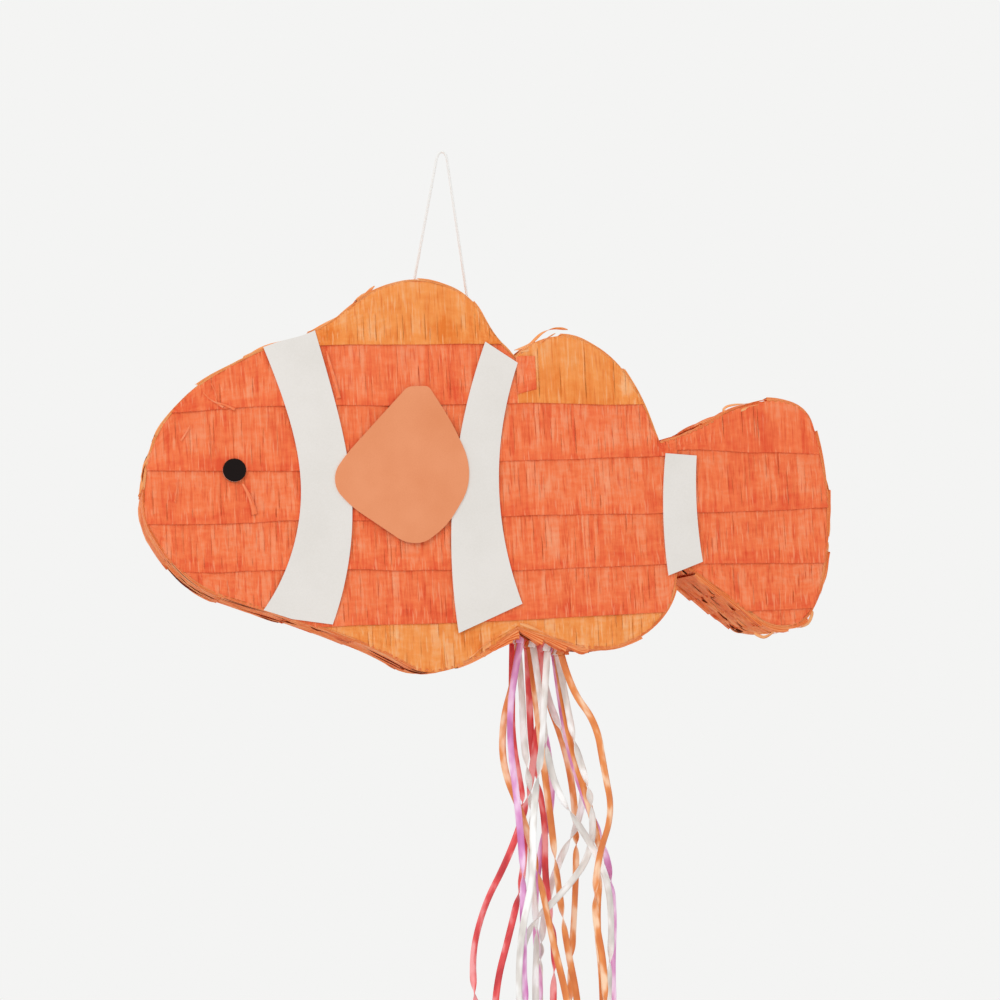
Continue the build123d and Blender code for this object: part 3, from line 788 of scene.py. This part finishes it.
edge_strips("head_edge_fringe", corners["top"], corners["nose"], golden_crepe, 301)
edge_strips("front_belly_edge_fringe", corners["nose"], corners["belly"], tangerine_crepe,
            302, highest=2.5 * mm, inner=beside_door,
            ruffles=ruffles_from("belly", (-52, 26, 4.5), (-34, 25, 7.5), (-18, 19, 9)))
edge_strips("rear_belly_edge_fringe", corners["belly"], corners["tail_low"], tangerine_crepe,
            303, inner=beside_door,
            opening=(door_middle - door_half - door_gap, door_middle + door_half + door_gap,
                     door_high.y + door_gap),
            ruffles=ruffles_from("belly", (1, 20, 8), (17, 22, 7.5), (34, 20, 5)))
edge_strips("tail_edge_fringe", corners["tail_low"], corners["tail_top"], tangerine_crepe, 304,
            highest=4.4 * mm,
            ruffles=ruffles_from("tail_low", *((on, 24, 4.8) for on in (4, 22, 41, 60))))
edge_strips("rear_hump_edge_fringe", corners["tail_top"], corners["top"], golden_crepe, 305)


# ---- The release door's own strips ----
door_rng = np.random.default_rng(310)
door_edges = (door_low.y + 0.2 * mm, door_high.y - 0.2 * mm)
door_parts = []
for begin, long, top in ((door_middle - door_half, 21 * mm, 1.6 * mm), (door_middle, 20 * mm, 1.9 * mm)):
    place = EdgePlace(begin, long, door_middle + door_half)
    door_parts.append(flipped(crepe_strip(finger_edges(*door_edges, door_rng), place, door_rng, thick=top,
                                          puff=0.2 * mm, tilt=0.2 * mm, rows=10)))
piece_of_parts("paper_release_door_fringe", door_parts, "release_door", coral_crepe,
               ["release_door_fringe"])


# ======== Cords ========

route_steps = 16                # of the spline between two of its points


def smooth_route(points):
    """Points along a NURBS spline through the route, as Blender gives them for a curve with no bevel."""
    curve = bpy.data.curves.new("route", "CURVE")
    curve.dimensions = "3D"
    spline = curve.splines.new("NURBS")
    spline.points.add(len(points) - 1)
    for control, place in zip(spline.points, points):
        control.co = (*place, 1)
    spline.order_u = 3
    spline.use_endpoint_u = True
    spline.resolution_u = route_steps
    holder = put_in_scene("route", curve)
    bpy.context.view_layer.update()
    line = bpy.data.meshes.new_from_object(holder.evaluated_get(bpy.context.evaluated_depsgraph_get()))
    places = np.empty(len(line.vertices) * 3)
    line.vertices.foreach_get("co", places)
    bpy.data.objects.remove(holder)
    return places.reshape(-1, 3)


def evenly(line, count):
    """count points at equal distances along a line of points, and how far along each lies."""
    along = np.concatenate([[0], np.cumsum(np.linalg.norm(np.diff(line, axis=0), axis=1))])
    distance = np.linspace(0, along[-1], count)
    return np.stack([np.interp(distance, along, line[:, k]) for k in range(3)], 1), distance


def frames_along(line, sideways):
    """Tangent, side and face directions of a line, its side kept as near as can be to one direction."""
    sideways = np.array(sideways)
    tangent = np.gradient(line, axis=0)
    tangent /= np.linalg.norm(tangent, axis=1, keepdims=True)
    side = sideways - (tangent @ sideways)[:, None] * tangent
    side /= np.linalg.norm(side, axis=1, keepdims=True)
    return tangent, side, np.cross(tangent, side)


def sweep(line, side, face, ring):
    """A closed tube as points, faces and caps: ring holds the cross-section's (side, face) offsets."""
    points = line[:, None] + ring[:, :1] * side[:, None] + ring[:, 1:] * face[:, None]
    number = np.arange(len(line) * len(ring)).reshape(len(line), len(ring))
    faces = grid_faces(np.hstack([number, number[:, :1]]), over=True)
    return points.reshape(-1, 3), faces, [number[0, ::-1].tolist(), number[-1].tolist()]


# ---- Hanging string: three strands laid round a route from tie to tie, over the top of the loop ----
string_points = np.array([(-25.7417, 0, -96.2123), (-5.68, 0, -8.7), (-3, 0, 3), (3, 0, 3), (4.19, 0, -8.94),
                          (14.9398, 0, -116.4179)]) * mm
string_places = 420             # points along a strand
strands = 3
lay_length = 6.5 * mm           # in which a strand goes once round the others
strand_offset = 0.48 * mm
strand_radius = 0.56 * mm
string_line, string_along = evenly(smooth_route(string_points), string_places)
_, side, face = frames_along(string_line, (0.0, 1.0, 0.0))
round_turn = np.linspace(0, 2 * np.pi, 9)[:-1]
strand_ring = np.stack([np.cos(round_turn), np.sin(round_turn)], -1) * strand_radius
string_mesh, string_faces = [], []
for strand in range(strands):
    turn = 2 * np.pi * (string_along / lay_length + strand / strands)
    line = string_line + strand_offset * (np.cos(turn)[:, None] * side + np.sin(turn)[:, None] * face)
    points, faces, caps = sweep(line, side, face, strand_ring)
    string_faces += [[corner + strand * len(points) for corner in own] for own in [*faces.tolist(), *caps]]
    string_mesh.append(points)
string_piece = make_piece("twisted_hanging_string", np.concatenate(string_mesh), string_faces,
                          "hanger", twine, ["hanging_string"])

# ---- Pull ribbons ----
# Each ribbon's row on the door, its length, and the points in x and z that it hangs through, in millimetres.
ribbon_routes = {
    "ribbon_orange_right": (3, 358, [(73, -399), (91, -424), (95, -458), (100, -490), (87, -522), (82, -560),
                                     (89, -605), (84, -665), (89, -722)]),
    "ribbon_white_left": (2, 377, [(54, -403), (50, -444), (41, -488), (40, -532), (28, -574), (24, -622),
                                   (28, -684), (24, -744)]),
    "ribbon_lilac_left": (0, 381, [(31, -393), (27, -433), (31, -477), (33, -523), (31, -568), (29, -618),
                                   (36, -682), (33, -742)]),
    "ribbon_white_right": (1, 392, [(52, -399), (54, -436), (60, -472), (80, -504), (96, -536), (97, -578),
                                    (90, -628), (94, -690), (90, -748)]),
    "ribbon_orange_left": (0, 392, [(34, -390), (24, -418), (22, -454), (36, -490), (46, -535), (53, -580),
                                    (63, -628), (67, -690), (73, -748)]),
    "ribbon_white_crossing": (3, 391, [(72, -404), (77, -440), (88, -478), (87, -518), (64, -546), (34, -570),
                                       (26, -614), (29, -678), (25, -740)]),
    "ribbon_orange_middle": (3, 366, [(70, -405), (75, -443), (86, -483), (94, -523), (87, -565), (90, -615),
                                      (86, -678), (91, -736)]),
    "ribbon_white_middle": (0, 386, [(41, -396), (40, -438), (45, -483), (41, -528), (44, -573), (39, -623),
                                     (43, -687), (41, -748)]),
    "ribbon_orange_inner": (1, 389, [(51, -400), (54, -444), (58, -490), (61, -536), (65, -582), (73, -632),
                                     (71, -694), (75, -754)]),
    "ribbon_lilac_right": (3, 370, [(70, -403), (74, -439), (84, -479), (100, -520), (103, -564), (98, -613),
                                    (101, -676), (97, -738)]),
    "ribbon_red_left": (2, 364, [(56, -403), (50, -443), (42, -483), (26, -521), (5, -556), (-6, -598),
                                 (2, -660), (2, -722)]),
    "ribbon_red_middle": (1, 389, [(48, -401), (48, -447), (56, -493), (53, -539), (59, -584), (54, -634),
                                   (57, -696), (53, -754)]),
    "ribbon_lilac_middle": (1, 373, [(52, -398), (61, -440), (63, -481), (51, -518), (44, -560), (47, -611),
                                     (42, -675), (45, -736)]),
    "ribbon_white_back": (2, 380, [(61, -398), (72, -431), (88, -459), (84, -495), (65, -525), (52, -563),
                                   (46, -612), (47, -676), (42, -736)]),
    "ribbon_red_inner": (0, 383, [(37, -395), (35, -435), (42, -480), (41, -526), (28, -572), (13, -618),
                                  (10, -682), (13, -742)]),
    "ribbon_orange_back": (2, 374, [(62, -401), (75, -439), (81, -481), (80, -525), (76, -569), (70, -618),
                                    (72, -680), (69, -740)]),
}
lane_pitch = 3 * mm             # each ribbon hangs in its own lane across the fish
ribbon_width = 5 * mm
ribbon_thickness = 0.3 * mm
ribbon_places = 220             # points along a ribbon
ribbon_flips = 4                # half turns that it makes on its way down
below_knot = 3.3 * mm           # from its row's pivot down to where a ribbon hangs free
twist_length = 34 * mm          # in which it turns over
cup_depth = 0.35 * mm           # of the bow across a ribbon
ribbon_shift = 0.05             # moves the ribs and the painted highlight bands on from one ribbon to the next
ribbon_rng = np.random.default_rng(42)
lanes = (np.arange(len(ribbon_routes)) - (len(ribbon_routes) - 1) / 2) * lane_pitch


def ribbon_ring():
    """A ribbon's cross-section: a thin band whose middle bows by the cup depth, front and then back."""
    u = np.linspace(-1, 1, 5)
    across, bow = u * ribbon_width / 2, cup_depth * (1 - u ** 2)
    front = np.stack([across, bow + ribbon_thickness / 2], -1)
    back = np.stack([across, bow - ribbon_thickness / 2], -1)
    return np.concatenate([front, back[::-1]])


# A ribbon's angle is a half turn by a smooth step at each flip, and a slow sway that grows to 0.35 radians.
ring = ribbon_ring()
for number, (name, (row, length, points)) in enumerate(ribbon_routes.items()):
    colour, lane = name.split("_")[1], lanes[number]
    top = (row_pivots[row][0], lane, row_pivots[row][2] - below_knot)
    line, along = evenly(smooth_route([top] + [(x * mm, lane, z * mm) for x, z in points]), ribbon_places)
    tangent, side, face = frames_along(line, (1.0, 0.0, 0.0))
    flips = np.sort(ribbon_rng.uniform(0.08, 0.95, ribbon_flips)) * along[-1]
    angle = sum(np.pi * smooth_step((along - flip) / twist_length) for flip in flips)
    sway = np.sin(along / (31 * mm) + ribbon_rng.uniform(0, 6))
    angle = angle + 0.35 * smooth_step(along / (40 * mm)) * sway
    turned_side = np.cos(angle)[:, None] * side + np.sin(angle)[:, None] * face
    points, faces, caps = sweep(line, turned_side, np.cross(tangent, turned_side), ring)
    uv = np.stack([np.tile(ring[:, 0] + number * ribbon_shift, len(line)), np.repeat(along, len(ring))], -1)
    piece = make_piece("satin_" + name, points, faces.tolist() + caps, f"ribbon_row_{row + 1}",
                       satins[colour], [name], uv)


# ---- Ribbon loops: each ribbon's end comes out of the door's slit and folds round under it ----
slope = (row_pivots[3] - row_pivots[0]) / np.linalg.norm(row_pivots[3] - row_pivots[0])
door_normal = np.array([slope[2], 0, -slope[0]])
door_drop = 5.3 * mm            # from the pivot up to the door's card
loop_half = 0.75 * mm           # half of the loop's width in y
loop_hang = 4.2 * mm            # of the loop below the pivot
loop_turn = np.linspace(0, 2 * np.pi, 33)[:-1, None]
loop_across = np.linspace(-1, 1, 7)


def ribbon_loop(number, row):
    """One ribbon's loop. Round its turn it is narrower where it enters the slit, and each side waves in y by
    0.18 mm times sin(2.5 pi u), u being the place across the ribbon."""
    into_slit = np.clip(np.cos(loop_turn), 0, 1)
    height = np.cos(loop_turn) * np.where(np.cos(loop_turn) < 0, loop_hang, door_drop)
    width = loop_half * np.sin(loop_turn) * (1 - 0.5 * into_slit)
    pinch = 1 - 0.32 * into_slit + 0.12 * np.sin(3 * loop_turn + number)
    across = loop_across * ribbon_width / 2 * pinch
    points = row_pivots[row] * [1, 0, 1] + across[..., None] * slope - height[..., None] * door_normal
    wave = 0.18 * mm * np.sin(2.5 * np.pi * loop_across + number)
    points[..., 1] = lanes[number] + width + wave * np.sin(loop_turn)
    grid = np.arange(across.size).reshape(across.shape)
    uv = np.stack([across + number * ribbon_shift, np.broadcast_to(loop_turn * 2 * mm, across.shape)], -1)
    return (points.reshape(-1, 3), grid_faces(np.vstack([grid, grid[:1]])), uv.reshape(-1, 2),
            np.full(across.size, 0.5))


loop_parts = {}
for number, (name, (row, _, _)) in enumerate(ribbon_routes.items()):
    loop_parts.setdefault(name.split("_")[1], []).append(ribbon_loop(number, row))
for colour, parts in loop_parts.items():
    loops = piece_of_parts(f"satin_{colour}_loops", parts, "release_door", satins[colour],
                           ["ribbon_knots"])
    thicken(loops, "ribbon thickness", ribbon_thickness)


# ======== Loose crepe ========
# Slivers of crepe that curl away from the strips: the points in x and z that each passes, its depth and its
# width, in millimetres.
slivers = [([(-92, -129), (-80, -119), (-68, -110), (-60, -103)], -43, 2.2),
           ([(-88, -128), (-78, -120), (-66, -109)], -38, 1.2),
           ([(158, -221), (170, -216), (184, -210), (190, -206), (202, -200)], -42, 2.2),
           ([(166, -217), (176, -213), (175, -209), (171, -212)], -40, 1.0),
           ([(182, -212), (196, -204), (192, -200), (199, -196), (214, -196)], -43, 2.0),
           ([(188, -208), (200, -203), (212, -199), (222, -197)], -46, 2.0),
           ([(206, -198), (222, -193), (238, -193), (252, -202), (262, -216)], -40, 1.0),
           ([(262, -232), (268, -250), (271, -276), (268, -296)], -43, 1.4),
           ([(268, -300), (266, -318), (260, -338)], -41, 1.2),
           ([(252, -350), (251, -356), (246, -361), (240, -362)], -44, 3.4),
           ([(226, -362), (219, -367), (213, -368), (208, -364)], -40, 2.4),
           ([(40, -152), (50, -150), (56, -144), (62, -139), (72, -136), (80, -138)], -43, 2.2),
           ([(44, -154), (54, -152), (60, -146), (70, -141)], -46, 1.6),
           ([(-228, -237), (-231, -248), (-230, -262), (-224, -277)], -43, 1.6),
           ([(30, -351), (20, -357), (8, -364), (-4, -373)], -46, 2.6),
           ([(34, -350), (46, -355), (60, -362), (76, -369)], -46, 2.4)]
# Fingers that have bent away from their row and lie across it.
bent_fingers = [([(-160.5, -243), (-157.5, -249), (-154.5, -256), (-153, -265)], -48.2, 4.2),
                ([(-97, -150), (-95, -160), (-92, -172), (-90, -184)], -47.9, 3.4),
                ([(-206, -237), (-207, -246), (-209, -254)], -47.4, 1.2),
                ([(-196, -200), (-199, -206), (-203, -211)], -47.4, 1.6),
                ([(-180, -171), (-176, -179), (-178, -185), (-172, -188)], -47.6, 1.6),
                ([(-186, -177), (-180, -184), (-171, -186), (-164, -190)], -47.8, 1.8)]
sliver_places = 40
sliver_across = np.linspace(-0.5, 0.5, 4)


def sliver(number, route, depth, width, flat=False):
    """A narrow strip of paper along a route: its two edges stand off by half its width, turning by a slow
    wave and tapering to both ends, or flat with the face of the fish and widening from its root."""
    rng = np.random.default_rng(500 + number)
    x, z = np.array(route, float).T
    y = depth + rng.uniform(-1, 1, len(x)) * (0.3 if flat else 1)
    line, along = evenly(smooth_route(np.stack([x, y, z], 1) * mm), sliver_places)
    _, side, face = frames_along(line, (0.0, 1.0, 0.0))
    if flat:
        turn, taper = np.full(sliver_places, np.pi / 2), np.linspace(0.35, 1, sliver_places)
    else:
        turn = rng.uniform(0, np.pi) + np.sin(along / (9 * mm) + rng.uniform(0, 6)) * 1.1
        taper = np.clip(np.sin(np.pi * np.linspace(0.04, 0.97, sliver_places)) * 3, 0.3, 1)
    reach = sliver_across * width * mm * taper[:, None]
    way = np.cos(turn)[:, None] * side + np.sin(turn)[:, None] * face
    points = line[:, None] + reach[..., None] * way[:, None]
    uv = np.stack([reach + number * 0.01, np.broadcast_to(along[:, None], reach.shape)], -1)
    return (points.reshape(-1, 3), grid_faces(np.arange(reach.size).reshape(reach.shape)), uv.reshape(-1, 2),
            np.full(reach.size, 0.7 if flat else 0.9))


bent_parts = [sliver(40 + number, *row, flat=True) for number, row in enumerate(bent_fingers)]
sliver_parts = [sliver(number, *row) for number, row in enumerate(slivers)]
for name, parts, crepe, slot in (("bent_crepe_fingers", bent_parts, coral_crepe, "coral_crepe"),
                                 ("loose_crepe_slivers", sliver_parts, golden_crepe, "golden_crepe")):
    thicken(piece_of_parts(name, parts, "shell", crepe), "paper thickness", 0.25 * mm)


# ======== Finishes of the carried-over pieces ========
node_finishes = {"front_head_stripe": white_card, "front_middle_stripe": white_card,
                 "front_tail_stripe": white_card, "back_stripes": white_card, "front_fin": salmon_card,
                 "back_fin": salmon_card, "front_eye": black_card, "back_eye": black_card,
                 "string_knots": twine}
for name, node in frame["nodes"].items():
    if not node.hide_render:
        node.data.materials.clear()
        node.data.materials.append(node_finishes.get(name, brown_card))


# ======== Floor, light and camera ========
floor_reach = 0.7               # from the middle to each side of the floor, in metres
floor_level = -1.02
floor_card, tree = new_material("pale_painted_floor")
place = add(tree, "TexCoord")
paint = add(tree, "TexNoise", {"Vector": place.outputs["Object"], "Scale": 60.0, "Detail": 3.0})
shade = add(tree, "ValToRGB", {"Fac": paint})
set_ramp(shade, (0.3, "#EDECEA"), (0.7, "#F4F3F1"))
shader = add(tree, "BsdfPrincipled", {"Base Color": shade, "Roughness": 0.8})
add(tree, "OutputMaterial", {"Surface": shader})
floor_mesh = bpy.data.meshes.new("studio_floor")
floor_mesh.from_pydata([(x * floor_reach, y * floor_reach, floor_level)
                        for x, y in ((-1, -1), (1, -1), (1, 1), (-1, 1))], [], [(0, 1, 2, 3)])
floor_mesh.materials.append(floor_card)
put_in_scene("studio_floor", floor_mesh)

world = bpy.data.worlds.new("pale_studio")
world.use_nodes = True
world.node_tree.nodes.clear()
sky = add(world.node_tree, "Background", {"Color": linear("#F4F4F3"), "Strength": 1.0})
add(world.node_tree, "OutputWorld", {"Surface": sky})
bpy.context.scene.world = world
bpy.context.scene.view_settings.view_transform = "Standard"

# A square window light in front, above and to the left, turned to shine at the middle of the fish.
light = bpy.data.lights.new("window_light", "AREA")
light.size = 0.9
light.energy = 13
light.color = linear("#FFFDFA")[:3]
window_place, fish_middle = Vector((-1.4, -1.9, 0.9)), Vector((0.02, 0, -0.25))
lamp = put_in_scene("window_light", light)
lamp.location = window_place
lamp.rotation_euler = (fish_middle - window_place).to_track_quat("-Z", "Y").to_euler()

# The camera looks along -backward, and is rolled about it.
azimuth, elevation, roll = np.radians((-9.6, -4.0, 2.7))
camera_place = (-0.28728, -1.88432, -0.39107)
backward = np.array([np.sin(azimuth) * np.cos(elevation), -np.cos(azimuth) * np.cos(elevation),
                     np.sin(elevation)])
level = np.cross(-backward, (0.0, 0.0, 1.0))
level /= np.linalg.norm(level)
upright = np.cross(level, -backward)
turned = level * np.cos(roll) - upright * np.sin(roll)
risen = upright * np.cos(roll) + level * np.sin(roll)
lens = bpy.data.cameras.new("studio_camera")
lens.lens = 93.5
lens.sensor_width = 36
camera = put_in_scene("studio_camera", lens)
rows = np.column_stack([turned, risen, backward, camera_place]).tolist()
camera.matrix_world = Matrix((*rows, (0, 0, 0, 1)))
bpy.context.scene.camera = camera
